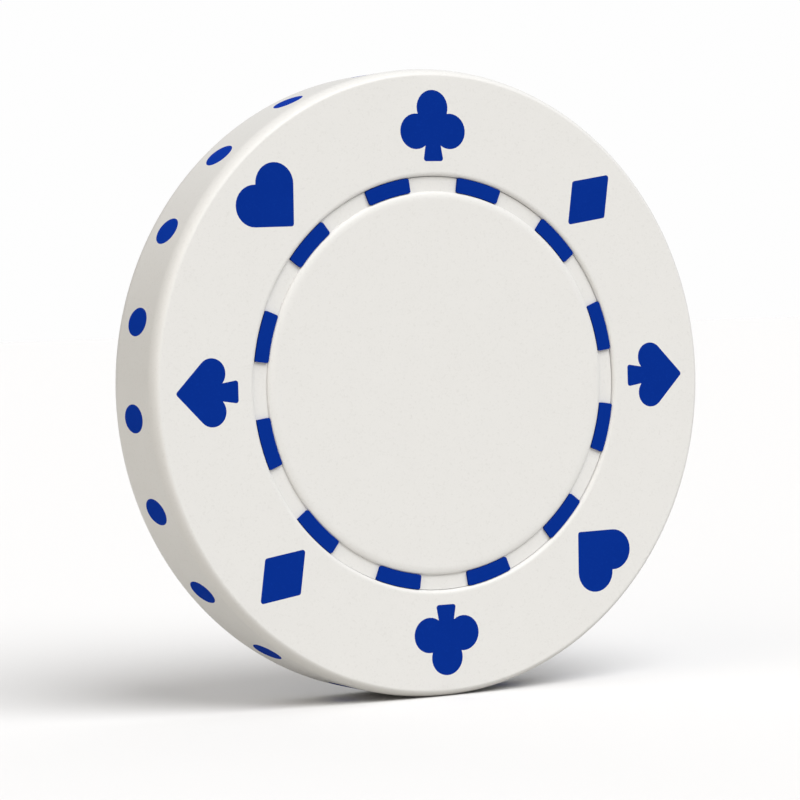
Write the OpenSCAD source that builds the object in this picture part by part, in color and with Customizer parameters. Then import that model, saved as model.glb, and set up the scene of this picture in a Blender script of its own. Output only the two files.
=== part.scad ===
// Card-suited casino chip standing on its rim, in millimetres.
// A white ring carries blue suit inlays, blue rim plugs and two white centre caps,
// which close over a steel slug. Blue dashes sit in the groove round each cap.
// The chip's axis lies along Y, the front face looks along -Y and +Z is up.
// The origin is the chip's centre.

/* [Chip] */
// Outer diameter
chip_d = 40; // [39:0.5:46]
// Thickness over the two faces
chip_t = 6.2; // [5.4:0.1:8]
// Radius of the rounded outer edges
edge_r = 0.45; // [0.3:0.05:1]
// Width of the flat at the bottom of the rim, on which the chip stands
foot_w = 1.6; // [1:0.1:2.4]

/* [Centre and groove] */
// Radius of the raised centre disc
disc_r = 12.2; // [10.5:0.1:12.6]
// Width of the groove round the disc
groove_w = 0.98; // [0.7:0.02:1.3]
// Depth of the groove below the face
groove_depth = 0.26; // [0.2:0.02:0.7]
// Radius of the rounded edges on both sides of the groove
groove_edge_r = 0.18; // [0.05:0.01:0.2]

/* [Dashes] */
// Number of dashes on each face
dash_count = 12; // [6:1:16]
// Angle that one dash covers
dash_span = 14.2; // [8:0.2:18]
// Depth of a dash's seat below the groove's floor
dash_seat = 0.6; // [0.3:0.1:1]
// Distance from the face down to a dash's top
dash_drop = 0.08; // [0:0.01:0.16]
// Radius of a dash's corners
dash_corner_r = 0.14; // [0.05:0.01:0.3]

/* [Suit inlays] */
// Depth of the inlays below the face
inlay_depth = 1.2; // [0.6:0.1:1.4]
// Radius of the diamond's corners, the suits' tips and the feet of the stems
tip_r = 0.18; // [0.06:0.01:0.25]
// Width of a stem where it leaves the lobes
stem_neck_w = 1.12; // [0.8:0.02:1.3]
// Width of a stem's foot
stem_foot_w = 1.4; // [1.2:0.02:1.8]

/* [Club] */
// Radius of each lobe
club_lobe_r = 1.13; // [1.06:0.01:1.2]
// Distance of the side lobes' centres from the middle line
club_spread = 1.23; // [1.1:0.01:1.3]
// Height of the top lobe's centre above the side lobes' centres
club_rise = 1.5; // [1.3:0.01:1.6]
// Distance from the side lobes' centres down to the stem's end
club_stem = 1.89; // [1.5:0.01:2.1]

/* [Diamond] */
// Width across the radius
diamond_w = 3.3; // [2.6:0.05:4]
// Height along the radius
diamond_h = 4.35; // [3.2:0.05:4.6]

/* [Spade] */
// Radius of each lobe
spade_lobe_r = 0.95; // [0.8:0.01:1.05]
// Distance of the lobes' centres from the middle line
spade_spread = 1.17; // [1.05:0.01:1.3]
// Height of the tip above the lobes' centres
spade_rise = 2.4; // [2:0.05:2.6]
// Distance from the lobes' centres down to the stem's end
spade_stem = 1.8; // [1.4:0.05:2]

/* [Heart] */
// Radius of each lobe
heart_lobe_r = 1.32; // [1.15:0.01:1.4]
// Distance of the lobes' centres from the middle line
heart_spread = 0.98; // [0.85:0.01:1.1]
// Distance from the lobes' centres down to the tip
heart_drop = 2.72; // [2.3:0.01:2.9]

/* [Rim plugs] */
// Number of oval plugs in the rim
plug_count = 21; // [12:1:24]
// Width of a plug across the rim
plug_w = 2.6; // [2.2:0.05:2.8]
// Height of a plug along the rim
plug_h = 1.8; // [1.2:0.05:2.1]
// Depth of a plug below the rim
plug_depth = 2; // [1:0.1:2.5]
// Clock angle of the first plug, from the top
plug_first = 8.6; // [0:0.1:18]

/* [Slug] */
// Thickness of the steel slug and of the ledge round it
slug_t = 1.2; // [0.8:0.1:1.6]
// Width of the ring's ledge, which the caps sit on and the slug lies in
ledge_w = 1.6; // [1:0.1:3]

/* [Fits] */
// Clearance round each inlay, dash and plug
inlay_gap = 0.02; // [0.01:0.005:0.04]
// Clearance between the caps and the ring, and round the slug
cap_gap = 0.03; // [0.02:0.01:0.08]

/* [Hidden] */
$fn = 128;
chip_r = chip_d / 2;
face_z = chip_t / 2;
ring_in_r = disc_r + groove_w;
groove_z = face_z - groove_depth;
flange_r = ring_in_r - cap_gap;
ledge_in_r = ring_in_r - ledge_w;
ledge_z = slug_t / 2;
dash_in_r = disc_r + inlay_gap;
dash_out_r = ring_in_r - inlay_gap;
dash_z = groove_z - dash_seat;
dash_step = 360 / dash_count;
// The suits are centred on the flat band between the groove and the rounded edge
suit_orbit = (ring_in_r + chip_r - edge_r) / 2;
plug_step = 360 / plug_count;
plug_foot_r = chip_r - plug_depth;
foot_y = sqrt(pow(chip_r, 2) - pow(foot_w / 2, 2));
// Cutters run this far past the faces that they open
past = 1;
// Largest turn between two points of an arc, in degrees
arc_step = 12;
// Turn between two points of a plug's outline, in degrees
oval_step = 9;

CHIP_WHITE = [0.91, 0.905, 0.89];
CHIP_BLUE = [0.04, 0.19, 0.57];
STEEL = [0.62, 0.63, 0.65];

FACES = ["front", "back"];
// The suits in clock order from the top; they go round each face twice
SUITS = ["club", "diamond", "spade", "heart"];
ROUNDS = [1, 2];
suit_step = 360 / (len(SUITS) * len(ROUNDS));

function inlay_name(face, suit, round) = str(face, "_", suit, "_", round);
function dash_name(face, i) = str(face, "_dash_", i);
INLAY_NODES = [for (face = FACES) for (round = ROUNDS) for (suit = SUITS) inlay_name(face, suit, round)];
DASH_NODES = [for (face = FACES) for (i = [1:dash_count]) dash_name(face, i)];

// Unit vector at an angle counted from +x
function along(angle) = [cos(angle), sin(angle)];

// Points of an arc round a centre
function arc(centre, r, from, to) =
    let (steps = max(2, ceil(abs(to - from) / arc_step)))
    [for (i = [0:steps]) centre + r * along(from + (to - from) * i / steps)];

// Direction in which the line that touches two circles on their right lies from both centres
function touch_angle(p, p_r, q, q_r) =
    let (d = q - p) atan2(d.y, d.x) - 90 - asin((q_r - p_r) / norm(d));

// Whole outline from its right half, which runs from the bottom up to the middle line
function both_halves(half) =
    let (middle = 0.0001)
    concat(half, [for (i = [len(half) - 1:-1:0]) if (half[i].x > middle) [-half[i].x, half[i].y]]);

// Poses: pieces are drawn with the front face at +z and the top at +y
module upright() rotate([90, 0, 0]) children();
module on_face(face) rotate([0, face == "front" ? 0 : 180, 0]) children();
module at_clock(angle) rotate([0, 0, -angle]) children();

// Outlines of the suits, with +y away from the chip's centre, grown by a clearance
module club_outline(grow) {
    r = club_lobe_r + grow;
    side = [club_spread, 0];
    top = [0, club_rise];
    foot = [stem_foot_w / 2 - tip_r, tip_r - club_stem];
    neck_angle = -acos((stem_neck_w / 2 + grow - club_spread) / r);
    to_top = atan2(club_rise, -club_spread);
    crossing = acos(norm(top - side) / 2 / r);
    translate([0, (club_stem - club_rise - club_lobe_r) / 2])
        polygon(both_halves(concat(
            arc(foot, tip_r + grow, -90, 0),
            arc(side, r, neck_angle, to_top - crossing),
            arc(top, r, to_top - 180 + crossing, 90))));
}

module diamond_outline(grow) {
    bottom = [0, tip_r - diamond_h / 2];
    side = [diamond_w / 2 - tip_r, 0];
    slope = touch_angle(bottom, tip_r, side, tip_r);
    polygon(both_halves(concat(
        arc(bottom, tip_r + grow, -90, slope),
        arc(side, tip_r + grow, slope, -slope),
        arc(-bottom, tip_r + grow, -slope, 90))));
}

module spade_outline(grow) {
    r = spade_lobe_r + grow;
    lobe = [spade_spread, 0];
    tip = [0, spade_rise - tip_r];
    foot = [stem_foot_w / 2 - tip_r, tip_r - spade_stem];
    neck_angle = -acos((stem_neck_w / 2 + grow - spade_spread) / r);
    slope = touch_angle(lobe, spade_lobe_r, tip, tip_r);
    translate([0, (spade_stem - spade_rise) / 2])
        polygon(both_halves(concat(
            arc(foot, tip_r + grow, -90, 0),
            arc(lobe, r, neck_angle, slope),
            arc(tip, tip_r + grow, slope, 90))));
}

module heart_outline(grow) {
    r = heart_lobe_r + grow;
    lobe = [heart_spread, 0];
    tip = [0, tip_r - heart_drop];
    slope = touch_angle(tip, tip_r, lobe, heart_lobe_r);
    translate([0, (heart_drop - heart_lobe_r) / 2])
        polygon(both_halves(concat(
            arc(tip, tip_r + grow, -90, slope),
            arc(lobe, r, slope, acos(-heart_spread / r)))));
}

module suit_outline(suit, grow) {
    if (suit == "club") club_outline(grow);
    if (suit == "diamond") diamond_outline(grow);
    if (suit == "spade") spade_outline(grow);
    if (suit == "heart") heart_outline(grow);
}

// Outline of a dash at the top of the groove
module dash_outline() {
    centre = [0, 0];
    in_r = dash_in_r + dash_corner_r;
    out_r = dash_out_r - dash_corner_r;
    end = 90 - dash_span / 2;
    in_end = end + asin(dash_corner_r / in_r);
    out_end = end + asin(dash_corner_r / out_r);
    polygon(both_halves(concat(
        arc(centre, dash_in_r, 90, in_end),
        arc(in_r * along(in_end), dash_corner_r, in_end - 180, end - 90),
        arc(out_r * along(out_end), dash_corner_r, end - 90, out_end),
        arc(centre, dash_out_r, out_end, 90))));
}

// Outline of a dash's seat in a cap's flange, open outwards and running in under the disc
module seat_outline() {
    end = along(90 - dash_span / 2);
    clearance = inlay_gap * along(-dash_span / 2);
    polygon(both_halves([(disc_r - past) * end + clearance, (ring_in_r + past) * end + clearance]));
}

// Outline of a rim plug, an ellipse with its width along y, grown by a clearance
module plug_outline(grow)
    polygon([for (angle = [0:oval_step:360 - oval_step])
        [(plug_h / 2 + grow) * cos(angle), (plug_w / 2 + grow) * sin(angle)]]);

// Room under the foot, which is taken off the rim
module under_foot() translate([-foot_w, -foot_y - past, -chip_t])
    cube([2 * foot_w, past, 2 * chip_t]);

// A suit's place on its face, at the pocket's floor
module at_suit(face, suit, round) {
    turn = suit_step * (len(SUITS) * (round - 1) + search([suit], SUITS)[0]);
    on_face(face) at_clock(turn) translate([0, suit_orbit, face_z - inlay_depth]) children();
}

// A dash's place on its face, at its seat
module at_dash(face, i) on_face(face) at_clock(dash_step * (i - 0.5)) translate([0, 0, dash_z]) children();

// A plug's place in the rim, with +z outwards
module at_plug(i) at_clock(plug_first + plug_step * i) rotate([-90, 0, 0]) children();

// Section of the ring, with its ledge and its rounded edges
module ring_section() {
    flat_z = face_z - edge_r;
    translate([ring_in_r + groove_edge_r, -face_z])
        square([chip_r - edge_r - ring_in_r - groove_edge_r, chip_t]);
    translate([ring_in_r, groove_edge_r - face_z])
        square([groove_edge_r * 2, chip_t - 2 * groove_edge_r]);
    translate([chip_r - edge_r * 2, -flat_z])
        square([edge_r * 2, 2 * flat_z]);
    translate([ledge_in_r, -ledge_z])
        square([ledge_w + groove_edge_r, slug_t]);
    for (side = [-1, 1]) {
        translate([chip_r - edge_r, side * flat_z])
            circle(edge_r);
        translate([ring_in_r + groove_edge_r, side * (face_z - groove_edge_r)])
            circle(groove_edge_r);
    }
}

// Section of a cap's raised disc, with its rounded edge
module cap_section() {
    translate([0, ledge_z])
        square([disc_r, face_z - groove_edge_r - ledge_z]);
    translate([0, ledge_z])
        square([disc_r - groove_edge_r, face_z - ledge_z]);
    translate([disc_r - groove_edge_r, face_z - groove_edge_r])
        circle(groove_edge_r);
}

module outer_ring() color(CHIP_WHITE) upright() difference() {
    rotate_extrude() ring_section();
    for (face = FACES, round = ROUNDS, suit = SUITS)
        at_suit(face, suit, round)
            linear_extrude(inlay_depth + past) suit_outline(suit, inlay_gap);
    for (i = [0:plug_count - 1])
        at_plug(i) translate([0, 0, plug_foot_r])
            linear_extrude(plug_depth + past) plug_outline(inlay_gap);
    under_foot();
}

module centre_cap(face) color(CHIP_WHITE) upright() {
    on_face(face) rotate_extrude() cap_section();
    difference() {
        on_face(face) translate([0, 0, ledge_z]) cylinder(r = flange_r, h = groove_z - ledge_z);
        for (i = [1:dash_count])
            at_dash(face, i) linear_extrude(dash_seat + past) seat_outline();
    }
}

module weight_slug() color(STEEL) upright()
    cylinder(r = ledge_in_r - cap_gap, h = slug_t, center = true);

module rim_plugs() color(CHIP_BLUE) upright()
    for (i = [0:plug_count - 1]) difference() {
        intersection() {
            at_plug(i) translate([0, 0, plug_foot_r])
                linear_extrude(plug_depth + past) plug_outline(0);
            cylinder(r = chip_r, h = chip_t, center = true);
        }
        under_foot();
    }

module suit_inlay(face, suit, round) color(CHIP_BLUE) upright()
    at_suit(face, suit, round) linear_extrude(inlay_depth) suit_outline(suit, 0);

module dash(face, i) color(CHIP_BLUE) upright()
    at_dash(face, i) linear_extrude(face_z - dash_drop - dash_z) dash_outline();

outer_ring();
centre_cap("front");  // front_centre_cap
centre_cap("back");  // back_centre_cap
weight_slug();
rim_plugs();
for (face = FACES, round = ROUNDS, suit = SUITS)
    suit_inlay(face, suit, round);
for (face = FACES, i = [1:dash_count])
    dash(face, i);
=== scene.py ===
"""Card-suited casino chip: smooth meshes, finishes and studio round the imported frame."""
from __future__ import annotations

import logging
import math
from dataclasses import dataclass, field
from enum import Enum
from typing import Iterable

import bmesh
import bpy
from mathutils import Matrix, Quaternion, Vector

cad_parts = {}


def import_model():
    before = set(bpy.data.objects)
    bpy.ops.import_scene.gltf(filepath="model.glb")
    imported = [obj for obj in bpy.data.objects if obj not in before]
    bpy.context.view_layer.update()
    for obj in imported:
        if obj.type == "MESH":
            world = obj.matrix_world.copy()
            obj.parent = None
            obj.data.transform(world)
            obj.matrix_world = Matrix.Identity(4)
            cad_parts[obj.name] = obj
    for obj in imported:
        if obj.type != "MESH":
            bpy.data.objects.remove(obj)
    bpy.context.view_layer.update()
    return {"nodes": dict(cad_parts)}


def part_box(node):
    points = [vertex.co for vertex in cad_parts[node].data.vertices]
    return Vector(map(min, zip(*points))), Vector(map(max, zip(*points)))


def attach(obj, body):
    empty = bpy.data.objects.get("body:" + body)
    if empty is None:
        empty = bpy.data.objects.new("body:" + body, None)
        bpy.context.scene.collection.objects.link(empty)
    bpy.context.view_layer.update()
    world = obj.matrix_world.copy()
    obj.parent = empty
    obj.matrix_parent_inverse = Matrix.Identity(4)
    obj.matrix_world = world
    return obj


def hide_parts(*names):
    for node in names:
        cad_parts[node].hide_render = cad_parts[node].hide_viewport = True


log = logging.getLogger("casino_chip")

MM = 0.001
ROOT_BODY = "root"
CHIP_AXIS = Vector((0.0, 1.0, 0.0))
WELD_DISTANCE = 0.0005 * MM
SHARP_ANGLE = math.radians(30.0)
LARGE_FACE_WEIGHT = 100

Colour = tuple[float, float, float]


class Face(Enum):
    """The chip's two faces, with the direction in which each looks along the chip's axis."""

    FRONT = ("front", -1.0)
    BACK = ("back", 1.0)

    @property
    def label(self) -> str:
        """Name of the face, as the nodes' names start."""
        return self.value[0]

    @property
    def side(self) -> float:
        """Sign of the face's place along +Y."""
        return self.value[1]


class Slot(Enum):
    """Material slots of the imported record."""

    WHITE = "chip_white"
    BLUE = "chip_blue"
    STEEL = "slug_steel"


@dataclass(frozen=True)
class ChipSizes:
    """Sizes that the pieces share, in metres.

    Args:
        radius: Outer radius of the chip.
        half_thickness: Distance from the middle plane to a face.
        foot: Distance from the axis down to the flat on which the chip stands.
        edge_depth: Depth of the rounding at the rim, along the axis.
        edge_fade: Width over which that rounding fades into the face.
        disc_r: Radius of the centre disc.
        groove_w: Width of the groove round the disc.
        groove_depth: Depth of the groove's floor under the face.
        groove_edge_depth: Depth of the roundings along the groove.
        groove_edge_fade: Width over which the groove's outer rounding fades into the ring's face.
        disc_edge_fade: Width over which the disc's rounding fades into its face.
        ledge_w: Width of the ledge that carries the caps.
        ledge_half: Distance from the middle plane to the ledge's top.
        cap_gap: Gap between a cap's flange and the ring.
        plug_w: Width of a rim plug, across the rim.
        plug_h: Height of a rim plug, along the rim.
        plug_depth: Depth of a rim plug.
        plug_count: Number of rim plugs.
        plug_first: Angle of the first plug from the top.
    """

    radius: float
    half_thickness: float
    foot: float
    edge_depth: float = 1.0 * MM
    edge_fade: float = 0.5 * MM
    disc_r: float = 12.2 * MM
    groove_w: float = 0.98 * MM
    groove_depth: float = 0.26 * MM
    groove_edge_depth: float = 0.2 * MM
    groove_edge_fade: float = 0.3 * MM
    disc_edge_fade: float = 0.55 * MM
    ledge_w: float = 1.6 * MM
    ledge_half: float = 0.6 * MM
    cap_gap: float = 0.03 * MM
    plug_w: float = 2.6 * MM
    plug_h: float = 1.8 * MM
    plug_depth: float = 2.0 * MM
    plug_count: int = 21
    plug_first: float = math.radians(8.6)

    @classmethod
    def from_frame(cls) -> ChipSizes:
        """Reads the chip's radius, thickness and standing height from the ring's box.

        Returns:
            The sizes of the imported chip.
        """
        low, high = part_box("outer_ring")
        return cls(radius=(high[0] - low[0]) / 2, half_thickness=(high[1] - low[1]) / 2, foot=-low[2])

    @property
    def ring_in_r(self) -> float:
        """Radius of the groove's outer wall."""
        return self.disc_r + self.groove_w

    @property
    def ledge_in_r(self) -> float:
        """Radius of the ledge's bore."""
        return self.ring_in_r - self.ledge_w

    @property
    def flange_r(self) -> float:
        """Radius of a cap's flange."""
        return self.ring_in_r - self.cap_gap

    @property
    def groove_y(self) -> float:
        """Distance from the middle plane to the groove's floor."""
        return self.half_thickness - self.groove_depth


class MouldedGrain:
    """Shader group shared by the moulded finishes: mottled colour, uneven gloss and a fine pebble.

    The dark grains come in across GRAIN_BAND of the pebble's noise, and the gloss goes from smooth to dull
    across GLOSS_BAND of the mottling's noise.
    """

    NAME = "moulded_grain"
    MOTTLE_DETAIL = 4.0
    MOTTLE_ROUGHNESS = 0.6
    PEBBLE_DETAIL = 3.0
    PEBBLE_ROUGHNESS = 0.55
    GRAIN_BAND = (0.56, 0.74)
    GLOSS_BAND = (0.3, 0.7)

    @classmethod
    def group(cls) -> bpy.types.ShaderNodeTree:
        """Builds the group on its first use.

        Returns:
            The node group, with Colour, Roughness and Height outputs.
        """
        found = bpy.data.node_groups.get(cls.NAME)
        if found:
            return found
        tree = bpy.data.node_groups.new(cls.NAME, "ShaderNodeTree")
        sockets = tree.interface
        sockets.new_socket("Pale Colour", in_out="INPUT", socket_type="NodeSocketColor")
        sockets.new_socket("Deep Colour", in_out="INPUT", socket_type="NodeSocketColor")
        sockets.new_socket("Speck Colour", in_out="INPUT", socket_type="NodeSocketColor")
        for name in ("Speck Amount", "Smooth Gloss", "Dull Gloss", "Pebble Scale", "Mottle Scale"):
            sockets.new_socket(name, in_out="INPUT", socket_type="NodeSocketFloat")
        sockets.new_socket("Colour", in_out="OUTPUT", socket_type="NodeSocketColor")
        sockets.new_socket("Roughness", in_out="OUTPUT", socket_type="NodeSocketFloat")
        sockets.new_socket("Height", in_out="OUTPUT", socket_type="NodeSocketFloat")
        cls._wire(tree)
        return tree

    @classmethod
    def _wire(cls, tree: bpy.types.ShaderNodeTree) -> None:
        """Places and links the group's nodes.

        Args:
            tree: The new group.
        """
        make, link = tree.nodes.new, tree.links.new
        given, made = make("NodeGroupInput").outputs, make("NodeGroupOutput").inputs
        mottle = cls._noise(tree, given["Mottle Scale"], cls.MOTTLE_DETAIL, cls.MOTTLE_ROUGHNESS)
        pebble = cls._noise(tree, given["Pebble Scale"], cls.PEBBLE_DETAIL, cls.PEBBLE_ROUGHNESS)

        tone = cls._blend(tree, mottle, given["Pale Colour"], given["Deep Colour"])
        dark_grains = cls._stretch(tree, pebble, cls.GRAIN_BAND)
        amount = make("ShaderNodeMath")
        amount.operation = "MULTIPLY"
        link(dark_grains.outputs["Result"], amount.inputs[0])
        link(given["Speck Amount"], amount.inputs[1])
        specks = cls._blend(tree, amount.outputs["Value"], tone, given["Speck Colour"])

        gloss = cls._stretch(tree, mottle, cls.GLOSS_BAND)
        link(given["Smooth Gloss"], gloss.inputs["To Min"])
        link(given["Dull Gloss"], gloss.inputs["To Max"])

        link(specks, made["Colour"])
        link(gloss.outputs["Result"], made["Roughness"])
        link(pebble, made["Height"])

    @staticmethod
    def _noise(tree: bpy.types.ShaderNodeTree, scale: bpy.types.NodeSocket, detail: float,
               roughness: float) -> bpy.types.NodeSocket:
        """Adds a noise on Object coordinates.

        Args:
            tree: The group.
            scale: Socket with the noise's scale.
            detail: Number of finer layers.
            roughness: Strength of the finer layers.

        Returns:
            The noise's value.
        """
        place = tree.nodes.new("ShaderNodeTexCoord")
        noise = tree.nodes.new("ShaderNodeTexNoise")
        noise.inputs["Detail"].default_value = detail
        noise.inputs["Roughness"].default_value = roughness
        tree.links.new(place.outputs["Object"], noise.inputs["Vector"])
        tree.links.new(scale, noise.inputs["Scale"])
        return noise.outputs["Fac"]

    @staticmethod
    def _blend(tree: bpy.types.ShaderNodeTree, factor: bpy.types.NodeSocket, first: bpy.types.NodeSocket,
               second: bpy.types.NodeSocket) -> bpy.types.NodeSocket:
        """Adds a mix of two colours.

        Args:
            tree: The group.
            factor: Socket with the share of the second colour.
            first: Socket with the first colour.
            second: Socket with the second colour.

        Returns:
            The mixed colour.
        """
        mix = tree.nodes.new("ShaderNodeMix")
        mix.data_type = "RGBA"
        tree.links.new(factor, mix.inputs["Factor"])
        tree.links.new(first, mix.inputs["A"])
        tree.links.new(second, mix.inputs["B"])
        return mix.outputs["Result"]

    @staticmethod
    def _stretch(tree: bpy.types.ShaderNodeTree, value: bpy.types.NodeSocket,
                 band: tuple[float, float]) -> bpy.types.ShaderNode:
        """Adds a node that stretches a band of values, by default to the range from 0 to 1.

        Args:
            tree: The group.
            value: Socket with the value.
            band: Lowest and highest value of the band.

        Returns:
            The Map Range node.
        """
        stretch = tree.nodes.new("ShaderNodeMapRange")
        stretch.inputs["From Min"].default_value = band[0]
        stretch.inputs["From Max"].default_value = band[1]
        tree.links.new(value, stretch.inputs["Value"])
        return stretch


@dataclass(frozen=True)
class MouldedFinish:
    """A moulded chip composite.

    Args:
        name: Name of the material.
        pale: Lightest tone of the mottling.
        deep: Darkest tone of the mottling.
        speck: Colour of the fine dark grains.
        speck_amount: How strongly the grains show.
        gloss_range: Roughness of the smoothest and the dullest patches.
        pebble_size: Width of the fine pebble, in metres.
        mottle_size: Width of the tone patches, in metres.
        relief: Depth of the fine pebble, in metres.
        specular: Specular level of the surface.
    """

    name: str
    pale: Colour
    deep: Colour
    speck: Colour
    speck_amount: float
    gloss_range: tuple[float, float]
    pebble_size: float = 0.16 * MM
    mottle_size: float = 3.0 * MM
    relief: float = 0.004 * MM
    specular: float = 0.5

    def material(self) -> bpy.types.Material:
        """Builds the material on its first use.

        Returns:
            The node material.
        """
        found = bpy.data.materials.get(self.name)
        if found:
            return found
        material = bpy.data.materials.new(self.name)
        material.use_nodes = True
        tree = material.node_tree
        shader = tree.nodes["Principled BSDF"]
        grain = tree.nodes.new("ShaderNodeGroup")
        grain.node_tree = MouldedGrain.group()
        grain.inputs["Pale Colour"].default_value = (*self.pale, 1.0)
        grain.inputs["Deep Colour"].default_value = (*self.deep, 1.0)
        grain.inputs["Speck Colour"].default_value = (*self.speck, 1.0)
        grain.inputs["Speck Amount"].default_value = self.speck_amount
        grain.inputs["Smooth Gloss"].default_value = self.gloss_range[0]
        grain.inputs["Dull Gloss"].default_value = self.gloss_range[1]
        grain.inputs["Pebble Scale"].default_value = 1.0 / self.pebble_size
        grain.inputs["Mottle Scale"].default_value = 1.0 / self.mottle_size
        bump = tree.nodes.new("ShaderNodeBump")
        bump.inputs["Distance"].default_value = self.relief
        tree.links.new(grain.outputs["Colour"], shader.inputs["Base Color"])
        tree.links.new(grain.outputs["Roughness"], shader.inputs["Roughness"])
        tree.links.new(grain.outputs["Height"], bump.inputs["Height"])
        tree.links.new(bump.outputs["Normal"], shader.inputs["Normal"])
        shader.inputs["Specular IOR Level"].default_value = self.specular
        return material


@dataclass(frozen=True)
class SteelFinish:
    """Plain stamped steel with faint rolling lines.

    Args:
        name: Name of the material.
        tone: Base colour of the steel.
        line_size: Spacing of the rolling lines, in metres.
        line_stretch: Scale of the lines' noise along X, Y and Z, low along the lines.
        gloss_range: Roughness of the smoothest and the dullest lines.
    """

    name: str = "stamped_steel"
    tone: Colour = (0.55, 0.56, 0.58)
    line_size: float = 0.2 * MM
    line_stretch: tuple[float, float, float] = (0.02, 1.0, 1.0)
    gloss_range: tuple[float, float] = (0.3, 0.5)

    def material(self) -> bpy.types.Material:
        """Builds the material on its first use.

        Returns:
            The node material.
        """
        found = bpy.data.materials.get(self.name)
        if found:
            return found
        material = bpy.data.materials.new(self.name)
        material.use_nodes = True
        tree = material.node_tree
        shader = tree.nodes["Principled BSDF"]
        shader.inputs["Metallic"].default_value = 1.0
        shader.inputs["Base Color"].default_value = (*self.tone, 1.0)
        place = tree.nodes.new("ShaderNodeTexCoord")
        stretch = tree.nodes.new("ShaderNodeMapping")
        stretch.inputs["Scale"].default_value = self.line_stretch
        lines = tree.nodes.new("ShaderNodeTexNoise")
        lines.inputs["Scale"].default_value = 1.0 / self.line_size
        gloss = tree.nodes.new("ShaderNodeMapRange")
        gloss.inputs["To Min"].default_value = self.gloss_range[0]
        gloss.inputs["To Max"].default_value = self.gloss_range[1]
        tree.links.new(place.outputs["Object"], stretch.inputs["Vector"])
        tree.links.new(stretch.outputs["Vector"], lines.inputs["Vector"])
        tree.links.new(lines.outputs["Fac"], gloss.inputs["Value"])
        tree.links.new(gloss.outputs["Result"], shader.inputs["Roughness"])
        return material


CHIP_WHITE = MouldedFinish(
    name="chip_white_composite",
    pale=(0.700, 0.698, 0.689),
    deep=(0.675, 0.672, 0.661),
    speck=(0.56, 0.555, 0.54),
    speck_amount=0.35,
    gloss_range=(0.42, 0.52),
)
CHIP_BLUE = MouldedFinish(
    name="chip_blue_composite",
    pale=(0.0026, 0.027, 0.255),
    deep=(0.0022, 0.024, 0.235),
    speck=(0.004, 0.034, 0.285),
    speck_amount=0.5,
    gloss_range=(0.45, 0.55),
    specular=0.002,
)
# Rim plugs: the chip blue made about a quarter lighter. This is painted light that offsets the shade on
# the rim, not a different plastic.
RIM_PLUG_BLUE_PAINTED_LIGHTER = MouldedFinish(
    name="rim_plug_blue_painted_lighter",
    pale=(0.0030, 0.036, 0.350),
    deep=(0.0027, 0.032, 0.322),
    speck=(0.005, 0.044, 0.385),
    speck_amount=0.5,
    gloss_range=(0.45, 0.55),
    specular=0.002,
)
SLUG_STEEL = SteelFinish()


def radius_of(point: Vector) -> float:
    """Distance of a point from the chip's axis."""
    return math.hypot(point.x, point.z)


def merged_copy(node: bpy.types.Object) -> bmesh.types.BMesh:
    """Copies a node's loose triangles into a closed mesh.

    Args:
        node: A node of the frame.

    Returns:
        The welded copy.
    """
    mesh = bmesh.new()
    mesh.from_mesh(node.data)
    bmesh.ops.remove_doubles(mesh, verts=mesh.verts, dist=WELD_DISTANCE)
    return mesh


def new_piece(name: str, mesh: bmesh.types.BMesh) -> bpy.types.Object:
    """Turns a mesh into an object at the origin.

    Args:
        name: Name of the piece.
        mesh: Its mesh, which is freed.

    Returns:
        The linked object.
    """
    data = bpy.data.meshes.new(name)
    mesh.to_mesh(data)
    mesh.free()
    piece = bpy.data.objects.new(name, data)
    bpy.context.scene.collection.objects.link(piece)
    return piece


def joined(meshes: Iterable[bmesh.types.BMesh]) -> bmesh.types.BMesh:
    """Puts several meshes into one.

    Args:
        meshes: The meshes, which are freed.

    Returns:
        The mesh that holds them all.
    """
    every = bmesh.new()
    for mesh in meshes:
        data = bpy.data.meshes.new("joined_part")
        mesh.to_mesh(data)
        mesh.free()
        every.from_mesh(data)
        bpy.data.meshes.remove(data)
    return every


def cut_out(piece: bpy.types.Object, *cutter_meshes: bmesh.types.BMesh) -> None:
    """Cuts pockets into a piece in one go, at millimetre scale, and keeps the result as its mesh.

    Args:
        piece: The piece that is cut.
        cutter_meshes: Closed solids to take away, which are freed.
    """
    in_mm, in_metres = Matrix.Scale(1.0 / MM, 4), Matrix.Scale(MM, 4)
    cutter = new_piece("cutter", joined(cutter_meshes))
    for blank in (piece.data, cutter.data):
        blank.transform(in_mm)
    cut = piece.modifiers.new("pockets", "BOOLEAN")
    cut.operation = "DIFFERENCE"
    cut.solver = "EXACT"
    cut.object = cutter
    depsgraph = bpy.context.evaluated_depsgraph_get()
    result = bpy.data.meshes.new_from_object(piece.evaluated_get(depsgraph))
    result.transform(in_metres)
    mesh = bmesh.new()
    mesh.from_mesh(result)
    bmesh.ops.dissolve_degenerate(mesh, dist=WELD_DISTANCE, edges=mesh.edges)
    mesh.to_mesh(result)
    mesh.free()
    piece.modifiers.clear()
    before, piece.data = piece.data, result
    result.name = piece.name
    bpy.data.meshes.remove(before)
    bpy.data.meshes.remove(cutter.data)


def shade_smooth(piece: bpy.types.Object) -> None:
    """Shades a piece smooth between its sharp edges, with its flat faces kept flat.

    Args:
        piece: The piece to shade.
    """
    mesh = bmesh.new()
    mesh.from_mesh(piece.data)
    mesh.normal_update()
    for face in mesh.faces:
        face.smooth = True
    for edge in mesh.edges:
        edge.smooth = edge.calc_face_angle(math.pi) < SHARP_ANGLE
    mesh.to_mesh(piece.data)
    mesh.free()
    weighted = piece.modifiers.new("even_normals", "WEIGHTED_NORMAL")
    weighted.mode = "FACE_AREA"
    weighted.weight = LARGE_FACE_WEIGHT
    weighted.keep_sharp = True


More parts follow.
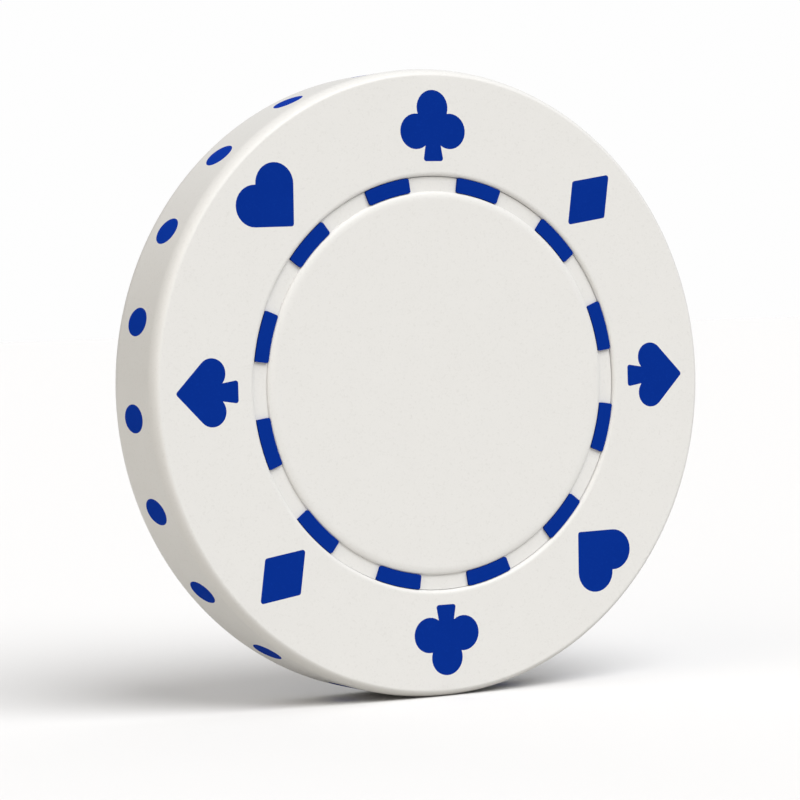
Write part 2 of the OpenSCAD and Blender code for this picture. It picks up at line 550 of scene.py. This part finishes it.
def extruded(mesh: bmesh.types.BMesh, face: bmesh.types.BMFace, keep: bool) -> bmesh.types.BMFace:
    """Extrudes a face in place, for its new copy to be moved.

    Args:
        mesh: The mesh.
        face: The face to extrude.
        keep: Whether the old face stays as the floor of the solid.

    Returns:
        The new face.
    """
    grown = bmesh.ops.extrude_face_region(mesh, geom=[face], use_keep_orig=keep)
    copy = next(item for item in grown["geom"] if isinstance(item, bmesh.types.BMFace))
    if not keep:
        bmesh.ops.delete(mesh, geom=[face], context="FACES_ONLY")
    return copy


def rim_edges(mesh: bmesh.types.BMesh, radius: float, depth: float) -> list[bmesh.types.BMEdge]:
    """Finds the edges of circles round the chip's axis.

    Args:
        mesh: The mesh to search.
        radius: Radius of the circles.
        depth: Distance of the circles from the middle plane.

    Returns:
        The edges whose ends both lie on such a circle.
    """
    def on_circle(vert: bmesh.types.BMVert) -> bool:
        """Whether a point lies on such a circle."""
        near_r = abs(radius_of(vert.co) - radius) < WELD_DISTANCE
        return near_r and abs(abs(vert.co.y) - depth) < WELD_DISTANCE

    def level(edge: bmesh.types.BMEdge) -> bool:
        """Whether both ends lie equally far along the axis."""
        return abs(edge.verts[0].co.y - edge.verts[1].co.y) < WELD_DISTANCE

    return [edge for edge in mesh.edges if level(edge) and all(on_circle(vert) for vert in edge.verts)]


def soft_edge(mesh: bmesh.types.BMesh, corner_r: float, half_thickness: float, depth: float, fade: float,
              segments: int) -> None:
    """Rounds the circles where the faces end, with one size along the axis and another on the face.

    Args:
        mesh: The mesh.
        corner_r: Radius of the circles.
        half_thickness: Distance of the circles from the middle plane.
        depth: Depth of the rounding along the axis.
        fade: Width over which the rounding fades into the face.
        segments: Number of strips across the rounding.
    """
    corners = rim_edges(mesh, corner_r, half_thickness)
    bmesh.ops.bevel(mesh, geom=corners, offset=depth, offset_type="OFFSET", segments=segments, profile=0.5,
                    affect="EDGES", material=-1, clamp_overlap=False)
    for vert in mesh.verts:
        radius = radius_of(vert.co)
        away = radius - corner_r
        if abs(away) < depth + WELD_DISTANCE and abs(vert.co.y) > half_thickness - depth - WELD_DISTANCE:
            grow = (corner_r + away * fade / depth) / radius
            vert.co.x *= grow
            vert.co.z *= grow


def stand_flat(mesh: bmesh.types.BMesh, foot: float) -> None:
    """Flattens the bottom of a mesh, where the chip stands.

    Args:
        mesh: The mesh.
        foot: Distance from the axis down to the flat.
    """
    for vert in mesh.verts:
        vert.co.z = max(vert.co.z, -foot)


def dress(piece: bpy.types.Object, finish: MouldedFinish | SteelFinish) -> None:
    """Gives a piece one finish.

    Args:
        piece: The piece.
        finish: Its finish.
    """
    piece.data.materials.clear()
    piece.data.materials.append(finish.material())


def stand_for(piece: bpy.types.Object, node: str) -> None:
    """Puts a new piece in a node's place.

    Args:
        piece: The new piece.
        node: The node that it stands for.
    """
    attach(piece, ROOT_BODY)
    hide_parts(node)
    log.info("%s stands for %s with %d faces", piece.name, node, len(piece.data.polygons))


@dataclass
class RimPlugs:
    """Oval plugs along the middle of the rim, level with it.

    Args:
        sizes: Sizes of the chip.
        circle_segments: Number of sides of a plug's outline.
        end_rings: Number of rings in a plug's curved end.
        past_rim: How far the solids that open the bores stand out of the rim.
    """

    sizes: ChipSizes
    circle_segments: int = 48
    end_rings: int = 3
    past_rim: float = 1.0 * MM

    def _plug(self, mesh: bmesh.types.BMesh, index: int, overshoot: float) -> None:
        """Adds one plug at its clock angle.

        Args:
            mesh: The mesh to add to.
            index: Number of the plug from the first one.
            overshoot: How far the plug stands out of the rim.
        """
        sizes = self.sizes
        oval = Matrix.Diagonal((1.0, sizes.plug_w / sizes.plug_h, 1.0, 1.0))
        lie = Matrix.Translation((0.0, 0.0, sizes.radius - sizes.plug_depth)) @ oval
        made = bmesh.ops.create_circle(mesh, cap_ends=True, radius=sizes.plug_h / 2,
                                       segments=self.circle_segments, matrix=lie)
        floor = made["verts"][0].link_faces[0]
        top_face = extruded(mesh, floor, keep=True)
        end_verts = set(top_face.verts)
        for ring in range(self.end_rings, 0, -1):
            top_face = extruded(mesh, top_face, keep=False)
            shrink = Matrix.Scale(ring / (ring + 1), 4)
            bmesh.ops.transform(mesh, verts=top_face.verts, matrix=shrink)
            end_verts.update(top_face.verts)
        for vert in end_verts:
            vert.co.z = math.sqrt((sizes.radius + overshoot) ** 2 - vert.co.x ** 2)
        turn = Matrix.Rotation(sizes.plug_first + index * math.tau / sizes.plug_count, 3, CHIP_AXIS)
        bmesh.ops.rotate(mesh, verts=list(end_verts) + made["verts"], cent=(0, 0, 0), matrix=turn)

    def mesh(self, overshoot: float = 0.0) -> bmesh.types.BMesh:
        """Builds all the plugs.

        Args:
            overshoot: How far the plugs stand out of the rim.

        Returns:
            The mesh of closed plugs.
        """
        mesh = bmesh.new()
        for index in range(self.sizes.plug_count):
            self._plug(mesh, index, overshoot)
        bmesh.ops.recalc_face_normals(mesh, faces=mesh.faces)
        return mesh

    def cutters(self) -> bmesh.types.BMesh:
        """Solids that open the plugs' bores."""
        return self.mesh(self.past_rim)

    def build(self) -> bpy.types.Object:
        """Makes the plugs as one piece.

        Returns:
            The finished piece.
        """
        mesh = self.mesh()
        stand_flat(mesh, self.sizes.foot)
        piece = new_piece("rim_plug_set", mesh)
        shade_smooth(piece)
        # The plugs get the lighter blue copy: painted light against the shade on the rim.
        dress(piece, RIM_PLUG_BLUE_PAINTED_LIGHTER)
        stand_for(piece, "rim_plugs")
        return piece


@dataclass
class Inlays:
    """Suits and dashes, which keep the frame's own solids.

    Args:
        sizes: Sizes of the chip.
        nodes: The frame's nodes by name.
        past_face: How far the solids that open the pockets are drawn out.
    """

    sizes: ChipSizes
    nodes: dict[str, bpy.types.Object]
    past_face: float = 1.0 * MM

    def named(self, start: str) -> list[bpy.types.Object]:
        """Nodes whose names start with the given words."""
        return [node for name, node in sorted(self.nodes.items()) if name.startswith(start)]

    def suits(self, face: Face) -> list[bpy.types.Object]:
        """Suit inlays of one face."""
        suits = ("club", "diamond", "spade", "heart")
        return [node for suit in suits for node in self.named(f"{face.label}_{suit}_")]

    def dashes(self, face: Face) -> list[bpy.types.Object]:
        """Dashes of one face."""
        return self.named(f"{face.label}_dash_")

    def cutters(self, nodes: list[bpy.types.Object], top: float) -> bmesh.types.BMesh:
        """Solids of some inlays, drawn out past their face.

        Args:
            nodes: The inlays.
            top: Distance from the middle plane beyond which a point belongs to an inlay's top.

        Returns:
            The mesh of closed cutters.
        """
        cutters = [merged_copy(node) for node in nodes]
        for cutter in cutters:
            for vert in cutter.verts:
                if abs(vert.co.y) > top:
                    vert.co.y += math.copysign(self.past_face, vert.co.y)
        return joined(cutters)

    def seat_cutters(self, face: Face) -> bmesh.types.BMesh:
        """Solids of one face's dashes, drawn out past the groove and past the flange's rim.

        Args:
            face: The face whose dashes are meant.

        Returns:
            The mesh of closed cutters.
        """
        cutters = self.cutters(self.dashes(face), self.sizes.groove_y)
        middle_r = self.sizes.disc_r + self.sizes.groove_w / 2
        for vert in cutters.verts:
            radius = radius_of(vert.co)
            if radius > middle_r:
                vert.co.x *= 1.0 + self.past_face / radius
                vert.co.z *= 1.0 + self.past_face / radius
        return cutters

    def build(self) -> None:
        """Dresses every suit and dash."""
        for face in Face:
            for node in self.suits(face) + self.dashes(face):
                dress(node, CHIP_BLUE)
                log.info("%s keeps its own solid", node.name)


@dataclass
class OuterRing:
    """White ring with the rim, its rounded edges and the pockets for the inlays.

    Args:
        sizes: Sizes of the chip.
        inlays: Suits that sit in the ring's pockets.
        plugs: Plugs that sit in its bores.
        steps: Number of steps round the ring.
        edge_segments: Number of strips across the rim's rounding.
        groove_edge_segments: Number of strips across the groove's outer rounding.
    """

    sizes: ChipSizes
    inlays: Inlays
    plugs: RimPlugs
    steps: int = 256
    edge_segments: int = 16
    groove_edge_segments: int = 12

    def _section(self) -> list[tuple[float, float]]:
        """Lays out the ring's section.

        Returns:
            Its corners, each as radius and place along the axis.
        """
        sizes = self.sizes
        return [
            (sizes.ring_in_r, -sizes.half_thickness),
            (sizes.radius, -sizes.half_thickness),
            (sizes.radius, sizes.half_thickness),
            (sizes.ring_in_r, sizes.half_thickness),
            (sizes.ring_in_r, sizes.ledge_half),
            (sizes.ledge_in_r, sizes.ledge_half),
            (sizes.ledge_in_r, -sizes.ledge_half),
            (sizes.ring_in_r, -sizes.ledge_half),
        ]

    def mesh(self) -> bmesh.types.BMesh:
        """Spins the section and rounds its edges.

        Returns:
            The ring without pockets.
        """
        sizes = self.sizes
        mesh = bmesh.new()
        corners = [mesh.verts.new((0.0, y, r)) for r, y in self._section()]
        section = [mesh.edges.new((a, b)) for a, b in zip(corners, corners[1:] + corners[:1])]
        bmesh.ops.spin(mesh, geom=corners + section, cent=(0, 0, 0), axis=CHIP_AXIS, angle=math.tau,
                       steps=self.steps, use_merge=True)
        bmesh.ops.remove_doubles(mesh, verts=mesh.verts, dist=WELD_DISTANCE)
        bmesh.ops.recalc_face_normals(mesh, faces=mesh.faces)
        soft_edge(mesh, sizes.radius, sizes.half_thickness, sizes.edge_depth, sizes.edge_fade,
                  self.edge_segments)
        soft_edge(mesh, sizes.ring_in_r, sizes.half_thickness, sizes.groove_edge_depth,
                  sizes.groove_edge_fade, self.groove_edge_segments)
        stand_flat(mesh, sizes.foot)
        return mesh

    def build(self) -> bpy.types.Object:
        """Makes the ring with its pockets and bores.

        Returns:
            The finished piece.
        """
        piece = new_piece("white_ring", self.mesh())
        inlay_top = self.sizes.half_thickness - self.sizes.groove_edge_depth
        suits = [node for face in Face for node in self.inlays.suits(face)]
        cut_out(piece, self.inlays.cutters(suits, inlay_top), self.plugs.cutters())
        shade_smooth(piece)
        dress(piece, CHIP_WHITE)
        stand_for(piece, "outer_ring")
        return piece


@dataclass
class CentreCap:
    """White centre disc of one face, with the flange that floors the groove.

    Args:
        sizes: Sizes of the chip.
        inlays: Dashes that sit in the flange's seats.
        face: The face that the cap closes.
        segments: Number of sides of the disc.
        edge_segments: Number of strips across the disc's rounding.
    """

    sizes: ChipSizes
    inlays: Inlays
    face: Face
    segments: int = 256
    edge_segments: int = 12

    def mesh(self) -> bmesh.types.BMesh:
        """Builds the cap up from its flange: extrude, inset, extrude and round.

        Returns:
            The cap without dash seats.
        """
        sizes = self.sizes
        mesh = bmesh.new()
        lie = Matrix.Rotation(math.pi / 2, 4, "X")
        made = bmesh.ops.create_circle(mesh, cap_ends=True, radius=sizes.flange_r, segments=self.segments,
                                       matrix=lie)
        base = made["verts"][0].link_faces[0]
        for vert in base.verts:
            vert.co.y = self.face.side * sizes.ledge_half
        top = self._raise(mesh, base, sizes.groove_y)
        bmesh.ops.inset_individual(mesh, faces=[top], thickness=sizes.flange_r - sizes.disc_r)
        self._raise(mesh, top, sizes.half_thickness, keep=False)
        bmesh.ops.recalc_face_normals(mesh, faces=mesh.faces)
        soft_edge(mesh, self._disc_r(mesh), sizes.half_thickness, sizes.groove_edge_depth,
                  sizes.disc_edge_fade, self.edge_segments)
        return mesh

    def _disc_r(self, mesh: bmesh.types.BMesh) -> float:
        """Radius of the circle of points that lie on the face."""
        return max(radius_of(v.co) for v in mesh.verts
                   if abs(abs(v.co.y) - self.sizes.half_thickness) < WELD_DISTANCE)

    def _raise(self, mesh: bmesh.types.BMesh, face: bmesh.types.BMFace, depth: float,
               keep: bool = True) -> bmesh.types.BMFace:
        """Extrudes a face along the axis.

        Args:
            mesh: The mesh.
            face: The face to extrude.
            depth: Distance of the new face from the middle plane.
            keep: Whether the old face stays as the floor of the solid.

        Returns:
            The new face.
        """
        top = extruded(mesh, face, keep)
        for vert in top.verts:
            vert.co.y = self.face.side * depth
        return top

    def build(self) -> bpy.types.Object:
        """Makes the cap with its dash seats.

        Returns:
            The finished piece.
        """
        piece = new_piece(f"{self.face.label}_disc", self.mesh())
        cut_out(piece, self.inlays.seat_cutters(self.face))
        shade_smooth(piece)
        dress(piece, CHIP_WHITE)
        stand_for(piece, f"{self.face.label}_centre_cap")
        return piece


@dataclass
class WeightSlug:
    """Steel disc between the caps, which keeps the frame's own solid.

    Args:
        node: The slug's node.
    """

    node: bpy.types.Object

    def build(self) -> None:
        """Dresses the slug."""
        dress(self.node, SLUG_STEEL)
        log.info("%s keeps its own solid", self.node.name)


@dataclass(frozen=True)
class SoftLight:
    """A far, soft light.

    Args:
        name: Name of the light.
        towards: Direction from the chip to the light.
        strength: Power of the light.
        spread: Angle that the light covers, in degrees.
        colour: Tint of the light.
        glare: Whether it shows in glossy surfaces.
    """

    name: str
    towards: tuple[float, float, float]
    strength: float
    spread: float
    colour: Colour = (1.0, 1.0, 1.0)
    glare: bool = True

    def build(self) -> None:
        """Adds the light to the scene."""
        data = bpy.data.lights.new(self.name, "SUN")
        data.energy = self.strength
        data.angle = math.radians(self.spread)
        data.color = self.colour
        light = bpy.data.objects.new(self.name, data)
        light.rotation_mode = "QUATERNION"
        light.rotation_quaternion = Vector(self.towards).to_track_quat("Z", "Y")
        light.visible_glossy = self.glare
        bpy.context.scene.collection.objects.link(light)


@dataclass
class Studio:
    """Pale floor, soft light and the camera at the photograph's viewing angle.

    Args:
        sizes: Sizes of the chip.
        backdrop_level: Brightness of the surround as the camera sees it.
        sky_level: Brightness of the surround as a light, level with the chip.
        sky_slope: How that brightness grows along X, Y and Z.
        floor_size: Length of the floor's sides, in metres.
        floor_cells: Number of the floor's cells along a side.
        floor_tone: Tone of the floor as the camera sees it.
        bounce_tone: Tone of the light that the floor throws back.
        camera_place: Place of the camera, in millimetres.
        camera_aim: Point that the camera looks at, in millimetres.
        camera_roll: Turn of the camera round its view, in degrees.
        camera_lens: Focal length, in millimetres.
        camera_sensor: Width of the sensor, in millimetres.
        camera_clip: Nearest and farthest distance that the camera shows, in metres.
        lights: The far lights.
    """

    sizes: ChipSizes
    backdrop_level: float = 0.99
    sky_level: float = 0.29
    sky_slope: tuple[float, float, float] = (0.0, 0.0, 0.15)
    floor_size: float = 6.0
    floor_cells: int = 8
    floor_tone: Colour = (0.756, 0.756, 0.762)
    bounce_tone: Colour = (0.535, 0.520, 0.490)
    camera_place: tuple[float, float, float] = (-99.55, -176.17, 4.85)
    camera_aim: tuple[float, float, float] = (-2.93, -3.1, -0.949)
    camera_roll: float = 1.628
    camera_lens: float = 141.3
    camera_sensor: float = 36.0
    camera_clip: tuple[float, float] = (0.01, 20.0)
    lights: list[SoftLight] = field(default_factory=lambda: [
        SoftLight("key_softbox", (0.12, -0.62, 0.775), 2.80, 50.0),
        SoftLight("side_fill", (-0.82, -0.35, 0.42), 0.90, 60.0, colour=(1.0, 0.91, 0.77)),
        SoftLight("back_light", (0.50, 0.75, 0.43), 0.8, 80.0, glare=False),
    ])

    def build(self) -> None:
        """Makes the floor, the light and the camera."""
        self._floor()
        self._sky()
        for light in self.lights:
            light.build()
        self._camera()

    def _floor(self) -> None:
        """Lays the floor under the chip's foot, with a darker and warmer bounce than its own tone."""
        mesh = bmesh.new()
        place = Matrix.Translation((0.0, 0.0, -self.sizes.foot))
        bmesh.ops.create_grid(mesh, x_segments=self.floor_cells, y_segments=self.floor_cells,
                              size=self.floor_size / 2, matrix=place)
        floor = new_piece("studio_floor", mesh)
        material = bpy.data.materials.new("studio_floor_paper")
        material.use_nodes = True
        tree = material.node_tree
        shader = tree.nodes["Principled BSDF"]
        shader.inputs["Roughness"].default_value = 1.0
        shader.inputs["Specular IOR Level"].default_value = 0.0
        path = tree.nodes.new("ShaderNodeLightPath")
        tone = tree.nodes.new("ShaderNodeMix")
        tone.data_type = "RGBA"
        tone.inputs["A"].default_value = (*self.floor_tone, 1.0)
        tone.inputs["B"].default_value = (*self.bounce_tone, 1.0)
        tree.links.new(path.outputs["Is Diffuse Ray"], tone.inputs["Factor"])
        tree.links.new(tone.outputs["Result"], shader.inputs["Base Color"])
        floor.data.materials.append(material)

    def _sky(self) -> None:
        """Sets a soft white surround that shows as plain white."""
        world = bpy.data.worlds.new("studio_surround")
        world.use_nodes = True
        tree = world.node_tree
        shown = tree.nodes["Background"]
        shown.inputs["Color"].default_value = (1.0, 1.0, 1.0, 1.0)
        shown.inputs["Strength"].default_value = self.backdrop_level
        lit = tree.nodes.new("ShaderNodeBackground")
        lit.inputs["Color"].default_value = (1.0, 1.0, 1.0, 1.0)
        way = tree.nodes.new("ShaderNodeTexCoord")
        slope = tree.nodes.new("ShaderNodeVectorMath")
        slope.operation = "DOT_PRODUCT"
        slope.inputs[1].default_value = self.sky_slope
        level = tree.nodes.new("ShaderNodeMath")
        level.operation = "ADD"
        level.inputs[1].default_value = self.sky_level
        tree.links.new(way.outputs["Generated"], slope.inputs[0])
        tree.links.new(slope.outputs["Value"], level.inputs[0])
        tree.links.new(level.outputs["Value"], lit.inputs["Strength"])
        path = tree.nodes.new("ShaderNodeLightPath")
        mix = tree.nodes.new("ShaderNodeMixShader")
        tree.links.new(path.outputs["Is Camera Ray"], mix.inputs["Fac"])
        tree.links.new(lit.outputs["Background"], mix.inputs[1])
        tree.links.new(shown.outputs["Background"], mix.inputs[2])
        tree.links.new(mix.outputs["Shader"], tree.nodes["World Output"].inputs["Surface"])
        bpy.context.scene.world = world

    def _camera(self) -> None:
        """Places the camera."""
        data = bpy.data.cameras.new("photo_camera")
        data.lens = self.camera_lens
        data.sensor_width = self.camera_sensor
        data.clip_start, data.clip_end = self.camera_clip
        camera = bpy.data.objects.new("photo_camera", data)
        place = Vector(self.camera_place) * MM
        aim = Vector(self.camera_aim) * MM
        level = (aim - place).to_track_quat("-Z", "Y")
        camera.location = place
        camera.rotation_mode = "QUATERNION"
        camera.rotation_quaternion = level @ Quaternion((0.0, 0.0, 1.0), math.radians(-self.camera_roll))
        bpy.context.scene.collection.objects.link(camera)
        bpy.context.scene.camera = camera


def main() -> None:
    """Builds the chip's pieces in order, then the studio."""
    logging.basicConfig(level=logging.INFO, format="%(name)s: %(message)s")
    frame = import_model()
    sizes = ChipSizes.from_frame()
    nodes = frame["nodes"]
    inlays = Inlays(sizes, nodes)
    plugs = RimPlugs(sizes)
    inlays.build()
    plugs.build()
    OuterRing(sizes, inlays, plugs).build()
    for face in Face:
        CentreCap(sizes, inlays, face).build()
    WeightSlug(nodes["weight_slug"]).build()
    Studio(sizes).build()
    bpy.context.scene.view_settings.view_transform = "Standard"


if __name__ == "__main__":
    main()
